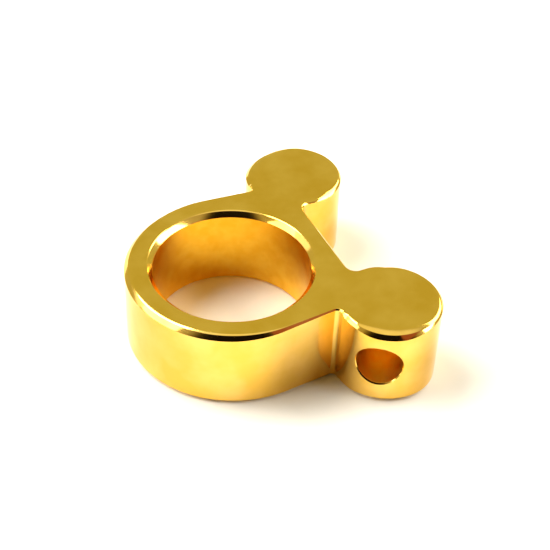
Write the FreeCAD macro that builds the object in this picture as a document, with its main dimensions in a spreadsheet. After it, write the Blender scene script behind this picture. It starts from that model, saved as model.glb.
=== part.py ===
import FreeCAD, Part
import math
import os
import Sketcher

# A one-piece saxophone ligature: a thick ring that slides over the mouthpiece and
# wedges the reed against it, with two round finger lugs ("ears") to push and pull it by.
# It is machined from one brass bar and gold plated, so it is one body.
#
# Frame: the origin is the bore's centre, halfway through. Z is the bore's axis, and the
# ligature lies on its back face. X points to the gap between the ears, Y from ear to ear.

os.makedirs("parts", exist_ok=True)

doc = FreeCAD.newDocument("saxophone_ligature")

# ---------------------------------------------------------------- driving dimensions

DIMENSIONS = [
    # alias, value (mm or degrees), what it is
    ("body_height", 11.2, "from the back face to the front face"),
    ("ring_radius", 13.5, "outside of the ring, round its back"),
    ("flank_angle", 6.0, "how far each flank leans in from the ring to its ear"),
    ("front_face", 13.0, "from the bore's axis to the flat between the ears"),
    ("front_fillet", 1.3, "radius where that flat runs into each ear"),
    ("ear_radius", 6.5, "outside of each round ear"),
    ("ear_forward", 15.1, "from the bore's axis to an ear's axis, along X"),
    ("ear_aside", 13.75, "from the bore's axis to an ear's axis, along Y"),
    ("bore_radius", 10.0, "bore that goes over the mouthpiece and its reed"),
    ("bore_chamfer", 0.6, "lead-in at both ends of the bore"),
    ("edge_chamfer", 0.5, "chamfer round the outside of both faces"),
    ("hole_radius", 2.9, "blind cross hole in each ear"),
    ("hole_height", 5.9, "from the back face to the cross hole's axis"),
    ("hole_lean", 37.5, "cross hole's axis from the Y axis, leaning to the ring's back"),
    ("hole_depth", 8.0, "full-diameter depth, from the ear's outermost point"),
    ("drill_half_angle", 59.0, "half the point angle of the drill"),
    ("hole_edge_break", 0.15, "broken edge round the hole's mouth"),
]

sheet = doc.addObject("Spreadsheet::Sheet", "Dimensions")
for row, (alias, value, meaning) in enumerate(DIMENSIONS, start=1):
    sheet.set(f"A{row}", meaning)
    sheet.set(f"B{row}", str(value))
    sheet.setAlias(f"B{row}", alias)
doc.recompute()


def size(alias):
    """A driving dimension's value, read from the sheet."""
    return float(sheet.get(alias))


def origin_plane(body, role):
    """One of the body's own three base planes."""
    return next(f for f in body.Origin.OriginFeatures if f.Role == role)


def attached_sketch(body, name, role):
    sketch = body.newObject("Sketcher::SketchObject", name)
    sketch.AttachmentSupport = [(origin_plane(body, role), "")]
    sketch.MapMode = "FlatFace"
    return sketch


def join(sketch, kind, *elements):
    """A sketch constraint with no size, such as Tangent or Equal."""
    sketch.addConstraint(Sketcher.Constraint(kind, *elements))


def dimension(sketch, kind, alias, *elements):
    """A sketch constraint whose size is bound to a cell of the sheet."""
    start = math.radians(size(alias)) if kind == "Angle" else size(alias)
    index = sketch.addConstraint(Sketcher.Constraint(kind, *elements, start))
    sketch.renameConstraint(index, alias)
    sketch.setExpression(f"Constraints.{alias}", f"{sheet.Name}.{alias}")


# ---------------------------------------------------------------- the outline
# One closed outline, seen along Z: an arc round the back, a straight flank tangent to it
# on each side, a round ear that each flank meets in a sharp notch, and a flat face between
# the ears with a small fillet into each of them.

body = doc.addObject("PartDesign::Body", "LigatureRing")
body.Label = "ligature_ring"
body.setExpression("Placement.Base.z", "-Dimensions.body_height / 2")

START, END, CENTRE = 1, 2, 3     # a sketch element's points, as Sketcher numbers them
ORIGIN = (-1, START)             # the sketch's origin
X_AXIS = -1                      # the sketch's own X axis
TINY = 1e-3                      # mm; two places nearer than this are the same
EDGE_SAMPLES = 9                 # points at which an edge's place is looked at


def outline_points():
    """Where the outline's elements meet, on the +Y side, worked out from the sheet."""
    lean = math.radians(size("flank_angle"))
    ring = size("ring_radius")
    ear = size("ear_radius")
    fillet = size("front_fillet")
    centre = FreeCAD.Vector(size("ear_forward"), size("ear_aside"), 0)
    tangent = FreeCAD.Vector(ring * math.sin(lean), ring * math.cos(lean), 0)
    along = FreeCAD.Vector(math.cos(lean), -math.sin(lean), 0)
    gap = centre - tangent
    reach = gap.dot(along)
    off_line = (gap - along * reach).Length
    notch = tangent + along * (reach - math.sqrt(ear ** 2 - off_line ** 2))
    fillet_x = size("front_face") + fillet
    rise = math.sqrt((ear + fillet) ** 2 - (centre.x - fillet_x) ** 2)
    fillet_centre = FreeCAD.Vector(fillet_x, centre.y - rise, 0)
    ear_end = centre + (fillet_centre - centre).normalize() * ear
    flat_end = FreeCAD.Vector(size("front_face"), fillet_centre.y, 0)
    return tangent, notch, centre, ear_end, fillet_centre, flat_end


def mirrored(point):
    return FreeCAD.Vector(point.x, -point.y, 0)


def arc_between(centre, first, last):
    """The arc that runs anticlockwise from first to last."""
    circle = Part.Circle(centre, FreeCAD.Vector(0, 0, 1), (first - centre).Length)
    start = math.atan2(first.y - centre.y, first.x - centre.x)
    end = math.atan2(last.y - centre.y, last.x - centre.x)
    return Part.ArcOfCircle(circle, start, end if end > start else end + 2 * math.pi)


def draw_outline(sketch):
    tangent, notch, ear_centre, ear_end, fillet_centre, flat_end = outline_points()
    ring_centre = FreeCAD.Vector(0, 0, 0)
    curves = [
        arc_between(ring_centre, tangent, mirrored(tangent)),
        Part.LineSegment(tangent, notch),
        Part.LineSegment(mirrored(tangent), mirrored(notch)),
        arc_between(ear_centre, ear_end, notch),
        arc_between(mirrored(ear_centre), mirrored(notch), mirrored(ear_end)),
        arc_between(fillet_centre, ear_end, flat_end),
        arc_between(mirrored(fillet_centre), mirrored(flat_end), mirrored(ear_end)),
        Part.LineSegment(flat_end, mirrored(flat_end)),
    ]
    ring, flank, far_flank, ear, far_ear, fillet, far_fillet, flat = sketch.addGeometry(curves)

    join(sketch, "Coincident", ring, CENTRE, *ORIGIN)
    join(sketch, "Tangent", ring, START, flank, START)
    join(sketch, "Tangent", ring, END, far_flank, START)
    join(sketch, "Coincident", flank, END, ear, END)
    join(sketch, "Coincident", far_flank, END, far_ear, START)
    join(sketch, "Tangent", ear, START, fillet, START)
    join(sketch, "Tangent", far_ear, END, far_fillet, END)
    join(sketch, "Tangent", fillet, END, flat, START)
    join(sketch, "Tangent", far_fillet, START, flat, END)
    join(sketch, "Equal", ear, far_ear)
    join(sketch, "Equal", fillet, far_fillet)
    join(sketch, "Symmetric", ring, START, ring, END, X_AXIS)
    join(sketch, "Symmetric", ear, CENTRE, far_ear, CENTRE, X_AXIS)
    join(sketch, "Vertical", flat)
    dimension(sketch, "Radius", "ring_radius", ring)
    dimension(sketch, "Radius", "ear_radius", ear)
    dimension(sketch, "Radius", "front_fillet", fillet)
    dimension(sketch, "DistanceX", "front_face", *ORIGIN, flat, START)
    dimension(sketch, "DistanceX", "ear_forward", *ORIGIN, ear, CENTRE)
    dimension(sketch, "DistanceY", "ear_aside", *ORIGIN, ear, CENTRE)
    dimension(sketch, "Angle", "flank_angle", flank, START, X_AXIS, START)


outline = attached_sketch(body, "Outline", "XY_Plane")
draw_outline(outline)

blank = body.newObject("PartDesign::Pad", "Blank")
blank.Profile = outline
blank.setExpression("Length", "Dimensions.body_height")
doc.recompute()

# ---------------------------------------------------------------- edges of both faces
# An even chamfer runs round the whole outside at the front and the back.


def edges_of(shape, wanted):
    """The names of the edges for which wanted(edge) is true. A drill point has no length."""
    names = []
    for number, edge in enumerate(shape.Edges, start=1):
        if not edge.Degenerated and wanted(edge):
            names.append(f"Edge{number}")
    return names


def lies_on_a_face(edge):
    """Whether the edge lies flat on the front or the back face."""
    box = edge.BoundBox
    level = box.ZLength < TINY
    return level and (abs(box.ZMin) < TINY or abs(box.ZMin - size("body_height")) < TINY)


def stays_round(edge, centre_x, centre_y, radius):
    """Whether the whole edge is at one radius from an upright axis, on either side of Y = 0."""
    for place in edge.discretize(EDGE_SAMPLES):
        across = math.hypot(place.x - centre_x, abs(place.y) - centre_y)
        if abs(across - radius) > TINY:
            return False
    return True


rims = body.newObject("PartDesign::Chamfer", "OuterChamfers")
rims.Base = (blank, edges_of(blank.Shape, lies_on_a_face))
rims.setExpression("Size", "Dimensions.edge_chamfer")
doc.recompute()

# ---------------------------------------------------------------- the bore
# Straight through, with a lead-in at both ends that helps it over the reed.

bore = body.newObject("PartDesign::SubtractiveCylinder", "Bore")
bore.setExpression("Radius", "Dimensions.bore_radius")
bore.setExpression("Height", "Dimensions.body_height")
doc.recompute()


def is_bore_end(edge):
    """One of the two circles where the bore meets a face."""
    return lies_on_a_face(edge) and stays_round(edge, 0, 0, size("bore_radius"))


lead_ins = body.newObject("PartDesign::Chamfer", "BoreLeadIns")
lead_ins.Base = (bore, edges_of(bore.Shape, is_bore_end))
lead_ins.setExpression("Size", "Dimensions.bore_chamfer")
doc.recompute()

# ---------------------------------------------------------------- the ears' cross holes
# A blind drilled hole in each ear, level, through the ear's axis. Its mouth faces outwards
# and towards the ring's back. One is drilled in the -Y ear and mirrored to the other.

mouth = attached_sketch(body, "HoleMouth", "XZ_Plane")
mouth.AttachmentOffset = FreeCAD.Placement(
    FreeCAD.Vector(0, 0, 0), FreeCAD.Rotation(FreeCAD.Vector(0, 1, 0), -size("hole_lean")))
mouth.setExpression(
    "AttachmentOffset.Base.x",
    "Dimensions.ear_forward - Dimensions.ear_radius * sin(Dimensions.hole_lean)")
mouth.setExpression("AttachmentOffset.Base.y", "Dimensions.hole_height")
mouth.setExpression(
    "AttachmentOffset.Base.z",
    "Dimensions.ear_aside + Dimensions.ear_radius * cos(Dimensions.hole_lean)")
mouth.setExpression("AttachmentOffset.Rotation.Angle", "-Dimensions.hole_lean")
circle = mouth.addGeometry(
    Part.Circle(FreeCAD.Vector(0, 0, 0), FreeCAD.Vector(0, 0, 1), size("hole_radius")))
join(mouth, "Coincident", circle, CENTRE, *ORIGIN)
dimension(mouth, "Radius", "hole_radius", circle)
doc.recompute()

drilled = body.newObject("PartDesign::Hole", "CrossHole")
drilled.Profile = mouth
drilled.ThreadType = "None"
drilled.DepthType = "Dimension"
drilled.DrillPoint = "Angled"
drilled.DrillForDepth = False
drilled.setExpression("Diameter", "2 * Dimensions.hole_radius")
drilled.setExpression("Depth", "Dimensions.hole_depth")
drilled.setExpression("DrillPointAngle", "2 * Dimensions.drill_half_angle")
doc.recompute()

both_holes = body.newObject("PartDesign::Mirrored", "BothCrossHoles")
both_holes.Originals = [drilled]
both_holes.MirrorPlane = (origin_plane(body, "XZ_Plane"), [""])
body.Tip = both_holes
doc.recompute()


def is_hole_mouth(edge):
    """The edge where a cross hole's wall meets the round of its ear: neither level nor upright."""
    box = edge.BoundBox
    if box.ZLength < TINY or box.XLength < TINY:
        return False
    return stays_round(edge, size("ear_forward"), size("ear_aside"), size("ear_radius"))


edge_breaks = body.newObject("PartDesign::Chamfer", "HoleEdgeBreaks")
edge_breaks.Base = (both_holes, edges_of(both_holes.Shape, is_hole_mouth))
edge_breaks.setExpression("Size", "Dimensions.hole_edge_break")
body.Tip = edge_breaks
doc.recompute()

# ---------------------------------------------------------------- checks and export

for thing in doc.Objects:
    if "Invalid" in thing.State or "Error" in thing.State:
        raise RuntimeError(f"{thing.Name} did not compute: {thing.State}")
for sketch in (outline, mouth):
    if not sketch.FullyConstrained:
        raise RuntimeError(f"{sketch.Name} is not fully constrained")
if body.Shape.isNull() or not body.Shape.isValid() or len(body.Shape.Solids) != 1:
    raise RuntimeError(f"{body.Label} is not one valid solid")

for thing in doc.Objects:
    if thing.isDerivedFrom("PartDesign::Feature"):
        print(f"{thing.Name}: {thing.Shape.Volume:.1f} mm3")
print(body.Shape.BoundBox)
body.Shape.exportStep(os.path.join("parts", body.Label + ".step"))
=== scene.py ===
import math

import bmesh
import bpy
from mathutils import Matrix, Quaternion, Vector


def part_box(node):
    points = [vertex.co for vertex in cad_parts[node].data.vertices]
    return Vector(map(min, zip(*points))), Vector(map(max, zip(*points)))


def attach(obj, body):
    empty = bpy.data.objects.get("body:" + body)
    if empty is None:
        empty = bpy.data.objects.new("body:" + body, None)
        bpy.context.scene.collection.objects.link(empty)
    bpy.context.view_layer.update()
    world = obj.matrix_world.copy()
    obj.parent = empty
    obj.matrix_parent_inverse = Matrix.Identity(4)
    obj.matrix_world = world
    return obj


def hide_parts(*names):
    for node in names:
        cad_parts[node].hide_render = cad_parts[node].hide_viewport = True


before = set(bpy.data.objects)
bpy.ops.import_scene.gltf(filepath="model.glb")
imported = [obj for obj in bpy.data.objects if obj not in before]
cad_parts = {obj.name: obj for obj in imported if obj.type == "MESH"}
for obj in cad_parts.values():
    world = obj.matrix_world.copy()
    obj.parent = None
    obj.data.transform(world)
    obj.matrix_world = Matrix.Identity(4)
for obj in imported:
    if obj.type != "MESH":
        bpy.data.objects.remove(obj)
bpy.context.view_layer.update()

MM = 0.001

# ---------------------------------------------------------------- sizes
# The CAD node's box gives the outside, and the rest repeats the design's driving sizes.

NODE = "ligature_ring"
low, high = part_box(NODE)
HALF_HEIGHT = high.z
RING_RADIUS = -low.x
EAR_RADIUS = 6.5 * MM
EAR_FORWARD = high.x - EAR_RADIUS
EAR_ASIDE = high.y - EAR_RADIUS
EAR_CENTRE = Vector((EAR_FORWARD, EAR_ASIDE, 0))    # the +Y ear; the other is its mirror image
BORE_RADIUS = 10.0 * MM
FLANK_LEAN = math.radians(6.0)
FRONT_FACE = 13.0 * MM
FRONT_FILLET = 1.3 * MM
OUTER_CHAMFER = 0.5 * MM
BORE_CHAMFER = 0.6 * MM
HOLE_RADIUS = 2.9 * MM
HOLE_HEIGHT = 0.3 * MM
HOLE_LEAN = math.radians(37.5)
HOLE_DEPTH = 8.0 * MM
HOLE_EDGE_BREAK = 0.15 * MM
DRILL_HALF_ANGLE = math.radians(59.0)
DRILL_FLARE = 4 * HOLE_EDGE_BREAK   # the 45 degree cone that breaks the edge, run on past the wall
DRILL_TAIL = 4 * DRILL_FLARE        # and a straight end clear of the ear

# Hand polishing takes more off each edge where the wheel can reach it, and little in the notches.
NOTCH_FILLET = 0.60 * MM    # solder-like round left in the sharp inside corner
CORNER_BUFF = 0.10 * MM     # radius on the crisp corners of a chamfer
EAR_DUB = 1.2 * MM          # width of the flat face that falls away towards an ear's edge
RING_DUB = 0.45 * MM        # the same along the ring
BORE_DUB = 0.35 * MM        # the same round the bore
BACK_DUB = 0.15 * MM        # the same on every edge of the back face
BACK_BORE_CHAMFER = 0.3 * MM
DUB_LEAN = math.radians(26) # how far the face has fallen over where it meets the chamfer
EAR_TAPER = 5.5 * MM        # length over which an ear's edge widens, from either inside corner
RING_TAPER = 14.0 * MM      # the same along the flank and the ring, from the notch
LEAST_BREAK = 0.35          # share of the full chamfer that is left in an inside corner
LEAST_DUB = 0.15            # share of the full dub that is left there
WHEEL_OFF_FROM = 8.0 * MM   # where the wheel starts to leave an ear's outer side, from the notch
WHEEL_OFF_OVER = 4.0 * MM   # how long it takes to leave
WHEEL_OFF_SHARE = 0.8       # how much of the widening is gone after that
NOTCH_BREAK = 0.7           # how far an ear's chamfer opens again beside its notch
NOTCH_BREAK_RISE = 0.5 * MM # the length over which it opens
NOTCH_BREAK_FADE = 5.0 * MM # and where it has closed again
CORNER_STEPS = 4
DUB_STEPS = 8
SMOOTH_UP_TO = math.radians(35)     # edges that turn less than this shade as one surface
FACE_WEIGHT = 100                   # how strongly the large faces set the shading

RING_STEPS = 360            # one vertex a degree, so that the flanks leave from a vertex
EAR_STEPS = 240
FILLET_STEPS = 14
BORE_STEPS = 360
HOLE_STEPS = 128

# How far apart two places may be and still count as the same, in metres.
LOOSELY = 1e-5
CLOSELY = 1e-6
EXACTLY = 1e-7


# ---------------------------------------------------------------- modelling helpers

def start_fresh():
    bpy.ops.object.select_all(action="DESELECT")


def pick(obj):
    """One object selected alone, for an operator to act on."""
    start_fresh()
    bpy.context.view_layer.objects.active = obj
    obj.select_set(True)


def edit(obj):
    """Into edit mode on one object, with nothing selected."""
    pick(obj)
    bpy.ops.object.mode_set(mode="EDIT")
    bpy.ops.mesh.select_mode(type="VERT")
    bpy.ops.mesh.select_all(action="DESELECT")


def leave_edit():
    bpy.ops.object.mode_set(mode="OBJECT")


def named(name):
    """The object that the last operator added, under its own name."""
    obj = bpy.context.active_object
    obj.name = name
    obj.data.name = name
    return obj


def select_points(obj, wanted, mode="VERT"):
    """Selects the points whose places pass the test, and the edges and faces between them."""
    bpy.ops.mesh.select_mode(type="VERT")
    bpy.ops.mesh.select_all(action="DESELECT")
    shape = bmesh.from_edit_mesh(obj.data)
    for point in shape.verts:
        point.select_set(wanted(point.co))
    shape.select_flush_mode()
    bmesh.update_edit_mesh(obj.data)
    bpy.ops.mesh.select_mode(type=mode)


def extrude(*way):
    bpy.ops.mesh.extrude_region_move(TRANSFORM_OT_translate={"value": way})


def pen(obj):
    """The one selected vertex, which the next stretch of a line is drawn from."""
    shape = bmesh.from_edit_mesh(obj.data)
    return next(point.co.copy() for point in shape.verts if point.select)


def line_to(obj, place):
    extrude(*(place - pen(obj)))


def arc_round(centre, angle, steps):
    """Carries the pen anticlockwise round centre. Spin counts its angle the other way."""
    bpy.ops.mesh.spin(steps=steps, angle=-angle, center=centre, axis=(0, 0, 1))


def apply_modifier(obj, kind, **settings):
    pick(obj)
    modifier = obj.modifiers.new(kind.lower(), kind)
    for name, value in settings.items():
        setattr(modifier, name, value)
    bpy.ops.object.modifier_apply(modifier=modifier.name)


# ---------------------------------------------------------------- the ring and its ears

def rounded_corner(points, corner, before, after, radius):
    """Adds an arc of the given radius that blends the two directions that meet at a corner."""
    turn = before.angle(after)
    reach = radius * math.tan(turn / 2)
    first = corner - before * reach
    last = corner + after * reach
    for step in range(CORNER_STEPS + 1):
        share = step / CORNER_STEPS
        one = first.lerp(corner, share)
        two = corner.lerp(last, share)
        points.append(one.lerp(two, share))


def eased_edge(chamfer, dub):
    """The section of an edge as (in, up) from the sharp corner, from the wall to the flat face.

    A 45 degree chamfer, then a face that falls away towards it over the width dub."""
    drop = dub * math.tan(DUB_LEAN) / 2
    foot = Vector((0, -drop - chamfer))
    brow = Vector((chamfer, -drop))
    up_wall = Vector((0, 1))
    up_chamfer = Vector((1, 1)).normalized()
    over_face = Vector((math.cos(DUB_LEAN), math.sin(DUB_LEAN)))
    points = []
    rounded_corner(points, foot, up_wall, up_chamfer, CORNER_BUFF)
    rounded_corner(points, brow, up_chamfer, over_face, CORNER_BUFF)
    width = points[-1].x
    for step in range(1, DUB_STEPS + 1):
        share = step / DUB_STEPS
        fall = drop * (1 - share) ** 2
        points.append(Vector((width + (chamfer + dub - width) * share, -fall)))
    return points


def flank_line():
    """Where the +Y flank leaves the ring, which way it runs, and which way it faces."""
    leaves = RING_RADIUS * Vector((math.sin(FLANK_LEAN), math.cos(FLANK_LEAN), 0))
    along = Vector((math.cos(FLANK_LEAN), -math.sin(FLANK_LEAN), 0))
    outwards = Vector((math.sin(FLANK_LEAN), math.cos(FLANK_LEAN), 0))
    return leaves, along, outwards


def notch_fillet():
    """The small round in the +Y notch: its centre, its end on the flank, its end on the ear."""
    leaves, along, outwards = flank_line()
    gap = EAR_CENTRE - leaves - outwards * NOTCH_FILLET
    reach = gap.dot(along)
    off_line = (gap - along * reach).length
    run = reach - math.sqrt((EAR_RADIUS + NOTCH_FILLET) ** 2 - off_line ** 2)
    on_flank = leaves + along * run
    centre = on_flank + outwards * NOTCH_FILLET
    on_ear = EAR_CENTRE + (centre - EAR_CENTRE).normalized() * EAR_RADIUS
    return centre, on_flank, on_ear


def front_fillet_centre():
    """The centre of the fillet between the +Y ear and the flat that joins the two ears."""
    x = FRONT_FACE + FRONT_FILLET
    rise = math.sqrt((EAR_RADIUS + FRONT_FILLET) ** 2 - (EAR_FORWARD - x) ** 2)
    return Vector((x, EAR_ASIDE - rise, 0))


def across(place):
    """The same place on the other side of the mirror plane between the ears."""
    return Vector((place.x, -place.y, place.z))


def heading(place, centre):
    return math.atan2(place.y - centre.y, place.x - centre.x)


def swept(centre, first, last):
    """The angle from one place to another round a centre, anticlockwise."""
    return (heading(last, centre) - heading(first, centre)) % (2 * math.pi)


def draw_outline():
    """The outside of the ring and both ears: a circle cut open, then drawn round the ears."""
    leaves = flank_line()[0]
    notch, on_flank, on_ear = notch_fillet()
    front = front_fillet_centre()
    ear_end = EAR_CENTRE + (front - EAR_CENTRE).normalized() * EAR_RADIUS
    flat_end = Vector((FRONT_FACE, front.y, 0))
    notch_angle = swept(notch, on_flank, on_ear)
    ear_angle = swept(EAR_CENTRE, ear_end, on_ear)
    front_angle = swept(front, ear_end, flat_end)

    start_fresh()
    bpy.ops.mesh.primitive_circle_add(vertices=RING_STEPS, radius=RING_RADIUS)
    ring = named("ligature_ring_plated")
    edit(ring)
    select_points(ring, lambda place: place.x > leaves.x + CLOSELY)
    bpy.ops.mesh.delete(type="VERT")
    select_points(ring, lambda place: (place - across(leaves)).length < LOOSELY)
    line_to(ring, across(on_flank))
    arc_round(across(notch), -notch_angle, FILLET_STEPS)
    arc_round(across(EAR_CENTRE), ear_angle, EAR_STEPS)
    arc_round(across(front), -front_angle, FILLET_STEPS)
    line_to(ring, flat_end)
    arc_round(front, -front_angle, FILLET_STEPS)
    arc_round(EAR_CENTRE, ear_angle, EAR_STEPS)
    arc_round(notch, -notch_angle, FILLET_STEPS)
    line_to(ring, leaves)
    bpy.ops.mesh.select_all(action="SELECT")
    bpy.ops.mesh.remove_doubles(threshold=CLOSELY)
    return ring


def ease(value):
    """0 to 1, starting and ending gently."""
    value = min(1.0, max(0.0, value))
    return value * value * (3 - 2 * value)


def edge_break(place):
    """The chamfer and dub at one place of the outline.

    Both narrow down into the inside corners, and on the outer side of each ear, where the
    wheel came off. Beside the notch an ear's chamfer alone opens again for a short way."""
    place = Vector((place.x, abs(place.y), 0))
    notch = notch_fillet()[0]
    from_notch = max(0.0, (place - notch).length - NOTCH_FILLET)
    from_front = max(0.0, (place - front_fillet_centre()).length - FRONT_FILLET)
    off_ear = (place - EAR_CENTRE).length - EAR_RADIUS
    beside_notch = 0.0
    if off_ear < LOOSELY:
        wheel_off = WHEEL_OFF_SHARE * ease((from_notch - WHEEL_OFF_FROM) / WHEEL_OFF_OVER)
        share = ease(from_notch / EAR_TAPER) * (1 - wheel_off)
        share = min(share, ease(from_front / EAR_TAPER))
        beside_notch = NOTCH_BREAK * (1 - ease(from_notch / NOTCH_BREAK_FADE))
        beside_notch *= ease(from_notch / NOTCH_BREAK_RISE)
        full_dub = EAR_DUB
    elif place.x < notch.x + NOTCH_FILLET:
        share = ease(from_notch / RING_TAPER)
        full_dub = RING_DUB
    else:
        share = 0.0
        full_dub = EAR_DUB
    chamfer_share = LEAST_BREAK + (1 - LEAST_BREAK) * max(share, beside_notch)
    dub_share = LEAST_DUB + (1 - LEAST_DUB) * share
    return OUTER_CHAMFER * chamfer_share, full_dub * dub_share


def close_end(ring, side):
    """One end of the outside: the wall, then its eased edge as insets of the face that closes it.

    Each rib of that edge then takes its own section, because the edge isn't one width all round."""
    usual = eased_edge(OUTER_CHAMFER, RING_DUB)
    select_points(ring, lambda place: abs(place.z) < EXACTLY)
    extrude(0, 0, side * (HALF_HEIGHT + usual[0].y))
    bpy.ops.mesh.edge_face_add()
    lid = next(face for face in bmesh.from_edit_mesh(ring.data).faces if face.select)
    if lid.normal.z * side < 0:
        bpy.ops.mesh.flip_normals()
    for before, after in zip(usual, usual[1:]):
        bpy.ops.mesh.inset(thickness=after.x - before.x, depth=after.y - before.y)
    bpy.ops.mesh.delete(type="ONLY_FACE")

    shape = bmesh.from_edit_mesh(ring.data)
    ribs = []
    for foot in [p for p in shape.verts if abs(p.co.z) < EXACTLY]:
        rib = [foot]
        for _ in usual:
            nearby = (edge.other_vert(rib[-1]) for edge in rib[-1].link_edges)
            rib.append(max(nearby, key=lambda p: p.co.z * side))
        ribs.append(rib)
    for foot, *rib in ribs:
        inwards = (rib[-1].co - foot.co) / usual[-1].x
        chamfer, dub = edge_break(foot.co)
        section = eased_edge(chamfer, dub if side > 0 else BACK_DUB)
        for point, (across_by, up_by) in zip(rib, section):
            point.co = foot.co + inwards * across_by
            point.co.z = side * (HALF_HEIGHT + up_by)
    bmesh.update_edit_mesh(ring.data)


def bore_out(ring, side, chamfer, dub):
    """One end of the bore: its wall drawn out from the middle and opened step by step."""
    radius = BORE_RADIUS
    height = 0.0
    for outwards, up in eased_edge(chamfer, dub):
        extrude(0, 0, side * (HALF_HEIGHT + up - height))
        spread = (BORE_RADIUS + outwards) / radius
        bpy.ops.transform.resize(value=(spread, spread, 1), center_override=(0, 0, 0))
        radius = BORE_RADIUS + outwards
        height = HALF_HEIGHT + up


def close_faces(ring):
    """The two flat faces, each between its outline and the bore."""
    for side in (1, -1):
        select_points(ring, lambda place: place.z * side > HALF_HEIGHT - EXACTLY, mode="EDGE")
        bpy.ops.mesh.fill(use_beauty=True)
    bpy.ops.mesh.select_all(action="SELECT")
    bpy.ops.mesh.remove_doubles(threshold=EXACTLY)
    bpy.ops.mesh.normals_make_consistent(inside=False)
    leave_edit()


# ---------------------------------------------------------------- the holes in the ears

def make_drill(name):
    """The shape that one hole takes out of the +Y ear, mouth towards +X round the ear's axis."""
    straight_from = EAR_RADIUS - HOLE_DEPTH
    mouth = EAR_RADIUS - HOLE_EDGE_BREAK
    point_length = HOLE_RADIUS / math.tan(DRILL_HALF_ANGLE)
    wide = (HOLE_RADIUS + DRILL_FLARE) / HOLE_RADIUS

    start_fresh()
    bpy.ops.mesh.primitive_cylinder_add(
        vertices=HOLE_STEPS, radius=HOLE_RADIUS, depth=mouth - straight_from,
        location=((mouth + straight_from) / 2, 0, 0), rotation=(0, math.radians(90), 0))
    drill = named(name)
    bpy.ops.object.transform_apply(location=True, rotation=True, scale=True)
    edit(drill)
    select_points(drill, lambda place: place.x < straight_from + CLOSELY, mode="FACE")
    extrude(-point_length, 0, 0)
    bpy.ops.mesh.merge(type="CENTER")
    select_points(drill, lambda place: place.x > mouth - CLOSELY, mode="FACE")
    extrude(DRILL_FLARE, 0, 0)
    bpy.ops.transform.resize(value=(1, wide, wide), center_override=(0, 0, 0))
    extrude(DRILL_TAIL, 0, 0)

    # The two rims at the mouth follow the ear's round wall, so that the broken edge is even.
    shape = bmesh.from_edit_mesh(drill.data)
    for point in shape.verts:
        if mouth - CLOSELY < point.co.x < mouth + DRILL_FLARE + CLOSELY:
            out = Vector((point.co.y, point.co.z)).normalized() * HOLE_RADIUS
            point.co.x += math.sqrt(EAR_RADIUS ** 2 - out.x ** 2) - EAR_RADIUS
    bmesh.update_edit_mesh(drill.data)
    return drill


def hole_axis(side):
    """A point on one hole's axis, and its way out of the mouth. Side is 1 for +Y, -1 for -Y."""
    centre = Vector((EAR_FORWARD, EAR_ASIDE * side, HOLE_HEIGHT))
    towards = Vector((-math.sin(HOLE_LEAN), math.cos(HOLE_LEAN) * side, 0))
    return centre, towards


def place_drill(side):
    """Turns the drill that is being edited to its lean, and sets it in one ear."""
    centre, towards = hole_axis(side)
    bpy.ops.mesh.select_all(action="SELECT")
    bpy.ops.transform.rotate(value=-math.atan2(towards.y, towards.x), orient_axis="Z",
                             center_override=(0, 0, 0))
    bpy.ops.transform.translate(value=centre)
    bpy.ops.mesh.normals_make_consistent(inside=False)
    leave_edit()


def drill_the_ears(ring):
    for side in (1, -1):
        drill = make_drill("ear_drill")
        place_drill(side)
        apply_modifier(ring, "BOOLEAN", object=drill, operation="DIFFERENCE", solver="EXACT")
        bpy.data.objects.remove(drill)


def inside_a_hole(place):
    """True on the wall or end of a drilled hole."""
    centre, towards = hole_axis(1 if place.y > 0 else -1)
    from_centre = place - centre
    along = from_centre.dot(towards)
    off_axis = (from_centre - towards * along).length
    return off_axis < HOLE_RADIUS + LOOSELY and abs(along) < EAR_RADIUS


def in_bore(place):
    return math.hypot(place.x, place.y) < BORE_RADIUS + CLOSELY


def finish_inside(ring):
    """The bore's wall and the drilled holes take the second and third finish, whose deeper gold is
    painted shade.
    """
    edit(ring)
    bpy.ops.mesh.select_mode(type="FACE")
    for slot, wanted in ((1, in_bore), (2, inside_a_hole)):
        bpy.ops.mesh.select_all(action="DESELECT")
        shape = bmesh.from_edit_mesh(ring.data)
        for face in shape.faces:
            face.select_set(all(wanted(point.co) for point in face.verts))
        bmesh.update_edit_mesh(ring.data)
        ring.active_material_index = slot
        bpy.ops.object.material_slot_assign()
    leave_edit()


def smooth_the_walls(ring):
    """Round walls shade as one surface, and the flat faces stay flat up to their buffed edges."""
    pick(ring)
    bpy.ops.object.shade_smooth_by_angle(angle=SMOOTH_UP_TO)
    apply_modifier(ring, "WEIGHTED_NORMAL", keep_sharp=True, weight=FACE_WEIGHT)


def make_ring():
    ring = draw_outline()
    close_end(ring, 1)
    close_end(ring, -1)
    bpy.ops.mesh.select_all(action="DESELECT")
    bpy.ops.mesh.primitive_circle_add(vertices=BORE_STEPS, radius=BORE_RADIUS)
    bore_out(ring, 1, BORE_CHAMFER, BORE_DUB)
    select_points(ring, lambda place: abs(place.z) < EXACTLY and in_bore(place))
    bore_out(ring, -1, BACK_BORE_CHAMFER, BACK_DUB)
    close_faces(ring)
    drill_the_ears(ring)
    smooth_the_walls(ring)
    return ring


# ---------------------------------------------------------------- materials

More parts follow.
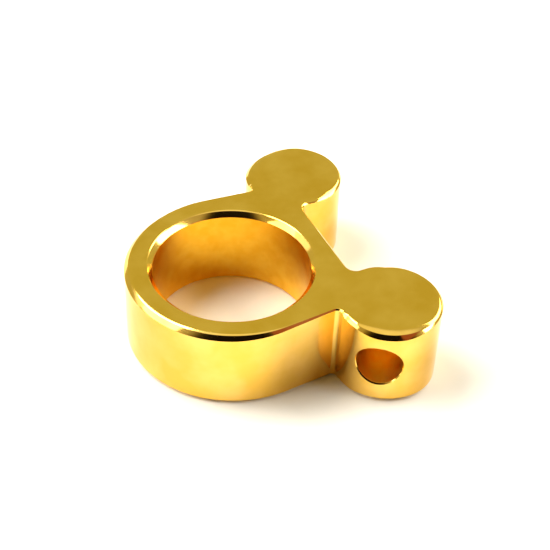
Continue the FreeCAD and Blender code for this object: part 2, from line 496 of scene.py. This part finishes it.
CLOUD_WIDTH = 6 * MM           # how big the cloudy patches of the polish are
WAVE_WIDTH = 3.5 * MM          # how far apart the wheel's soft hollows are
WAVE_DEPTH = 0.010 * MM
HAIRLINE_LENGTH = 4 * MM
HAIRLINE_WIDTH = 0.22 * MM
HAIRLINE_DEPTH = 0.0007 * MM
HAIRLINE_TURN = math.radians(35)
PATCH_WIDTH = 1.5 * MM         # the uneven sheen a cutting tool leaves
MARK_PITCH = 0.35 * MM         # from one turned mark to the next
BORED_MARK_DEPTH = 0.0018 * MM
DRILLED_MARK_DEPTH = 0.006 * MM
WAVE_TEXTURE_PERIOD = 0.314    # metres from one band to the next of a wave texture at scale 1
NOISE_LOW, NOISE_HIGH = 0.3, 0.7    # nearly all of a noise texture lies between these

POLISHED_ROUGHNESS = (0.08, 0.13)
BORED_ROUGHNESS = (0.20, 0.26)
DRILLED_ROUGHNESS = (0.36, 0.46)


def srgb(code):
    """An sRGB hex colour as the linear colour that a shader takes."""
    parts = [int(code[i:i + 2], 16) / 255 for i in (1, 3, 5)]
    linear = [p / 12.92 if p <= 0.04045 else ((p + 0.055) / 1.055) ** 2.4 for p in parts]
    return (*linear, 1.0)


def add_node(tree, kind, sockets=None, stops=(), **settings):
    """Adds a node. A socket is given a value, or another node's output to be linked to.

    Stops are a colour ramp's, each as its position and its sRGB hex colour, in rising order."""
    node = tree.nodes.new(kind)
    for name, value in settings.items():
        setattr(node, name, value)
    for name, value in (sockets or {}).items():
        if isinstance(value, bpy.types.NodeSocket):
            tree.links.new(value, node.inputs[name])
        else:
            node.inputs[name].default_value = value
    for number, (position, code) in enumerate(stops):
        if number == len(node.color_ramp.elements):
            node.color_ramp.elements.new(1.0)
        node.color_ramp.elements[number].position = position
        node.color_ramp.elements[number].color = srgb(code)
    return node


def new_material(name):
    material = bpy.data.materials.new(name)
    material.use_nodes = True
    material.node_tree.nodes.clear()
    return material, material.node_tree


def polished_gold_plate():
    """Gold plate over brass, buffed on a soft wheel after machining.

    To the eye: deep yellow mirror-like metal, a little cloudy and wavy where the wheel has
    passed, with hairlines that break up the edges of a highlight."""
    material, tree = new_material("polished_gold_plate")
    place = add_node(tree, "ShaderNodeTexCoord").outputs["Object"]
    clouds = add_node(tree, "ShaderNodeTexNoise",
                      {"Vector": place, "Scale": 1 / CLOUD_WIDTH, "Detail": 3.0,
                       "Roughness": 0.6}).outputs["Fac"]
    waves = add_node(tree, "ShaderNodeTexNoise",
                     {"Vector": place, "Scale": 1 / WAVE_WIDTH, "Detail": 1.0}).outputs["Fac"]
    drawn_out = add_node(tree, "ShaderNodeMapping",
                         {"Vector": place, "Rotation": (0, 0, HAIRLINE_TURN),
                          "Scale": (1 / HAIRLINE_LENGTH, 1 / HAIRLINE_WIDTH, 1 / HAIRLINE_WIDTH)})
    hairlines = add_node(tree, "ShaderNodeTexNoise",
                         {"Vector": drawn_out.outputs["Vector"], "Scale": 1.0,
                          "Detail": 2.0}).outputs["Fac"]
    colour = add_node(tree, "ShaderNodeValToRGB", {"Fac": clouds},
                      stops=((0.35, "#F4C452"), (0.65, "#FFD26E")))
    roughness = add_node(tree, "ShaderNodeMapRange",
                         {"Value": clouds, "From Min": NOISE_LOW, "From Max": NOISE_HIGH,
                          "To Min": POLISHED_ROUGHNESS[0], "To Max": POLISHED_ROUGHNESS[1]})
    wavy = add_node(tree, "ShaderNodeBump",
                    {"Height": waves, "Distance": WAVE_DEPTH, "Strength": 1.0})
    scratched = add_node(tree, "ShaderNodeBump",
                         {"Height": hairlines, "Distance": HAIRLINE_DEPTH, "Strength": 1.0,
                          "Normal": wavy.outputs["Normal"]})
    metal = add_node(tree, "ShaderNodeBsdfPrincipled",
                     {"Base Color": colour.outputs["Color"], "Metallic": 1.0,
                      "Roughness": roughness.outputs["Result"],
                      "Normal": scratched.outputs["Normal"]})
    add_node(tree, "ShaderNodeOutputMaterial", {"Surface": metal.outputs["BSDF"]})
    return material


def machined_and_shaded_gold_plate(name, roughness_range, dark, light, mark_depth):
    """Gold plate over brass as the drill or boring tool left it, where no wheel reaches.

    To the eye: a satin sheen and faint tool marks, in a gold deeper and redder than the outside's.
    That deeper, redder gold is painted shade, standing in for the gold-tinted shade inside the bore
    and the holes."""
    material, tree = new_material(name)
    place = add_node(tree, "ShaderNodeTexCoord").outputs["Object"]
    patches = add_node(tree, "ShaderNodeTexNoise",
                       {"Vector": place, "Scale": 1 / PATCH_WIDTH, "Detail": 2.0,
                        "Roughness": 0.5}).outputs["Fac"]
    marks = add_node(tree, "ShaderNodeTexWave",
                     {"Vector": place, "Scale": WAVE_TEXTURE_PERIOD / MARK_PITCH,
                      "Distortion": 1.2, "Detail": 2.0, "Detail Scale": 0.6},
                     wave_type="BANDS", bands_direction="Z").outputs["Fac"]
    # The patches vary at random; the deeper gold of both ends is painted shade for the hollows.
    colour = add_node(tree, "ShaderNodeValToRGB", {"Fac": patches},
                      stops=((0.35, dark), (0.65, light)))
    roughness = add_node(tree, "ShaderNodeMapRange",
                         {"Value": patches, "From Min": NOISE_LOW, "From Max": NOISE_HIGH,
                          "To Min": roughness_range[0], "To Max": roughness_range[1]})
    marked = add_node(tree, "ShaderNodeBump",
                      {"Height": marks, "Distance": mark_depth, "Strength": 1.0})
    metal = add_node(tree, "ShaderNodeBsdfPrincipled",
                     {"Base Color": colour.outputs["Color"], "Metallic": 1.0,
                      "Roughness": roughness.outputs["Result"],
                      "Normal": marked.outputs["Normal"]})
    add_node(tree, "ShaderNodeOutputMaterial", {"Surface": metal.outputs["BSDF"]})
    return material


def plain_paper():
    """Matt white background paper. To the eye: plain pale, with no shine."""
    material, tree = new_material("matt_white_paper")
    paper = add_node(tree, "ShaderNodeBsdfDiffuse", {"Color": srgb("#F8F3E6")})
    add_node(tree, "ShaderNodeOutputMaterial", {"Surface": paper.outputs["BSDF"]})
    return material


def card_material(name, code, strength):
    """Studio card or cloth that shows in the metal as one plain tone."""
    material, tree = new_material(name)
    tone = add_node(tree, "ShaderNodeEmission", {"Color": srgb(code), "Strength": strength})
    add_node(tree, "ShaderNodeOutputMaterial", {"Surface": tone.outputs["Emission"]})
    return material


# ---------------------------------------------------------------- the ring, finished

ring = make_ring()
ring.data.materials.clear()
ring.data.materials.append(polished_gold_plate())
# The bore and the holes get deeper, redder golds than the outside: painted shade for these hollows.
ring.data.materials.append(machined_and_shaded_gold_plate(
    "bored_shaded_gold_plate", BORED_ROUGHNESS, "#F8C02E", "#FFCE40", BORED_MARK_DEPTH))
ring.data.materials.append(machined_and_shaded_gold_plate(
    "drilled_shaded_gold_plate", DRILLED_ROUGHNESS, "#FFC038", "#FFD050", DRILLED_MARK_DEPTH))
finish_inside(ring)
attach(ring, "root")
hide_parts(NODE)


# ---------------------------------------------------------------- floor, cards, lights

CAMERA_PLACE = Vector((-49.66, -111.85, 111.20)) * MM
CAMERA_AZIMUTH = math.radians(-26.49)               # the camera's way from the target, from -Y
CAMERA_ROLL = math.radians(2.38)
TARGET = Vector((4.50, -3.17, 4.65)) * MM           # what the camera and every light point at
TOWARDS_CAMERA = Vector((math.sin(CAMERA_AZIMUTH), -math.cos(CAMERA_AZIMUTH), 0))
TO_THE_RIGHT = Vector((math.cos(CAMERA_AZIMUTH), math.sin(CAMERA_AZIMUTH), 0))

FLOOR_RADIUS = 0.6
FLOOR_STEPS = 64

ROOM_ON_PAPER = 0.12        # share of the room's light that reaches matt paper; lamps do the rest
FLATTENED = 0.48            # stretches the dark patch of the room upwards
WHITE_BEYOND = 1.2          # what the camera sees past the floor, a little over plain white
DARK_AROUND = 4             # middle of the dark patch, in degrees right of the camera
OVERHEAD_FROM = math.radians(64)    # how high up the room starts to turn white
OVERHEAD_FULL = math.radians(82)

# The room's tones, each at its angle in degrees from the middle of the dark patch.
ROOM_TONES = ((38, "#141009"), (42, "#38301C"), (46, "#7C7048"), (52, "#B8B08C"),
              (90, "#BCB490"), (116, "#C4C094"), (136, "#C6C482"), (150, "#C6C482"))


def spot(around, elevation, distance):
    """A place round the object: degrees right of the camera, degrees up, and metres away."""
    around = math.radians(around)
    elevation = math.radians(elevation)
    level = TOWARDS_CAMERA * math.cos(around) + TO_THE_RIGHT * math.sin(around)
    return TARGET + (level * math.cos(elevation) + Vector((0, 0, math.sin(elevation)))) * distance


def facing_turn(place):
    """The turn that points a light or card from its place at the object."""
    return (TARGET - place).to_track_quat("-Z", "Y").to_euler()


def softbox(name, place, width, height, radiance, in_reflections=True):
    """A soft light of one brightness all over. Its power follows from its size.

    Where a card stands in for it, the metal doesn't show the light itself."""
    light = bpy.data.lights.new(name, "AREA")
    light.shape = "RECTANGLE"
    light.size = width
    light.size_y = height
    light.energy = radiance * math.pi * width * height
    holder = bpy.data.objects.new(name, light)
    bpy.context.scene.collection.objects.link(holder)
    holder.location = place
    holder.rotation_euler = facing_turn(place)
    holder.visible_camera = False
    holder.visible_glossy = in_reflections


def studio_card(name, place, width, height, code, strength):
    """A card that shows in the metal only. It lights no paper and casts no shadow."""
    start_fresh()
    bpy.ops.mesh.primitive_plane_add(size=1, location=place, rotation=facing_turn(place))
    card = named(name)
    card.scale = (width, height, 1)
    bpy.ops.object.transform_apply(location=True, rotation=True, scale=True)
    card.data.materials.append(card_material(name, code, strength))
    card.visible_camera = False
    card.visible_diffuse = False
    card.visible_shadow = False


start_fresh()
bpy.ops.mesh.primitive_circle_add(vertices=FLOOR_STEPS, radius=FLOOR_RADIUS, fill_type="NGON",
                                  location=(0, 0, -HALF_HEIGHT))
floor = named("paper_floor")
floor.data.materials.append(plain_paper())

softbox("window_left", spot(-112, 58, 0.50), 0.26, 0.24, 10.5)
softbox("softbox_left", spot(-90, 31, 0.45), 0.40, 0.19, 9.5, in_reflections=False)
softbox("softbox_right", spot(92, 30, 0.45), 0.38, 0.14, 8.5)
softbox("softbox_back_right", spot(130, 42, 0.50), 0.30, 0.24, 6.0)

studio_card("white_card_left", spot(-75, 32, 0.45), 0.29, 0.19, "#FFFFFF", 4.0)
studio_card("cream_card_left", spot(-105, 25, 0.45), 0.18, 0.16, "#FFFFFF", 1.5)
studio_card("red_brown_card", spot(54, 36.5, 0.077), 0.040, 0.020, "#A05C48", 1.0)


def pale_studio():
    """A pale room: dark round the camera, even beyond that, yellower on the far side, and
    white overhead.

    The camera itself sees plain white beyond the floor."""
    world = bpy.data.worlds.new("pale_studio")
    bpy.context.scene.world = world
    world.use_nodes = True
    tree = world.node_tree
    tree.nodes.clear()
    way = add_node(tree, "ShaderNodeTexCoord").outputs["Generated"]
    flatter = add_node(tree, "ShaderNodeVectorMath", {0: way, 1: (1, 1, FLATTENED)},
                       operation="MULTIPLY").outputs["Vector"]
    level_way = add_node(tree, "ShaderNodeVectorMath", {0: flatter},
                         operation="NORMALIZE").outputs["Vector"]
    dark_way = (spot(DARK_AROUND, 0, 1.0) - TARGET).normalized()
    facing = add_node(tree, "ShaderNodeVectorMath", {0: level_way, 1: dark_way},
                      operation="DOT_PRODUCT").outputs["Value"]
    angle = add_node(tree, "ShaderNodeMath", {0: facing}, operation="ARCCOSINE").outputs[0]
    share = add_node(tree, "ShaderNodeMapRange", {"Value": angle, "From Max": math.pi})
    tones = add_node(tree, "ShaderNodeValToRGB", {"Fac": share.outputs["Result"]},
                     stops=[(degrees / 180, code) for degrees, code in ROOM_TONES])
    height = add_node(tree, "ShaderNodeSeparateXYZ", {0: way}).outputs["Z"]
    overhead = add_node(tree, "ShaderNodeMapRange",
                        {"Value": height, "From Min": math.sin(OVERHEAD_FROM),
                         "From Max": math.sin(OVERHEAD_FULL)}, interpolation_type="SMOOTHSTEP")
    # A colour mix takes its two colours at sockets 6 and 7, and gives the result at output 2.
    lit = add_node(tree, "ShaderNodeMix",
                   {0: overhead.outputs["Result"], 6: tones.outputs["Color"],
                    7: srgb("#FFFFF4")}, data_type="RGBA").outputs[2]
    path = add_node(tree, "ShaderNodeLightPath")
    strength = add_node(tree, "ShaderNodeMapRange",
                        {"Value": path.outputs["Is Diffuse Ray"], "To Min": 1.0,
                         "To Max": ROOM_ON_PAPER})
    room = add_node(tree, "ShaderNodeBackground",
                    {"Color": lit, "Strength": strength.outputs["Result"]})
    white = add_node(tree, "ShaderNodeBackground",
                     {"Color": srgb("#FFFFFF"), "Strength": WHITE_BEYOND})
    both = add_node(tree, "ShaderNodeMixShader",
                    {"Fac": path.outputs["Is Camera Ray"],
                     1: room.outputs[0], 2: white.outputs[0]})
    add_node(tree, "ShaderNodeOutputWorld", {"Surface": both.outputs[0]})


pale_studio()


# ---------------------------------------------------------------- camera

def place_camera():
    camera = bpy.data.cameras.new("camera")
    camera.lens = 84.44
    camera.sensor_width = 36.0
    camera.clip_start = 0.01
    camera.clip_end = 10.0
    camera.dof.use_dof = False
    holder = bpy.data.objects.new("camera", camera)
    bpy.context.scene.collection.objects.link(holder)
    holder.location = CAMERA_PLACE
    aim = (TARGET - CAMERA_PLACE).to_track_quat("-Z", "Y")
    roll = Quaternion((0, 0, 1), CAMERA_ROLL)
    holder.rotation_mode = "QUATERNION"
    holder.rotation_quaternion = aim @ roll
    bpy.context.scene.camera = holder


place_camera()
bpy.context.scene.view_settings.view_transform = "Standard"
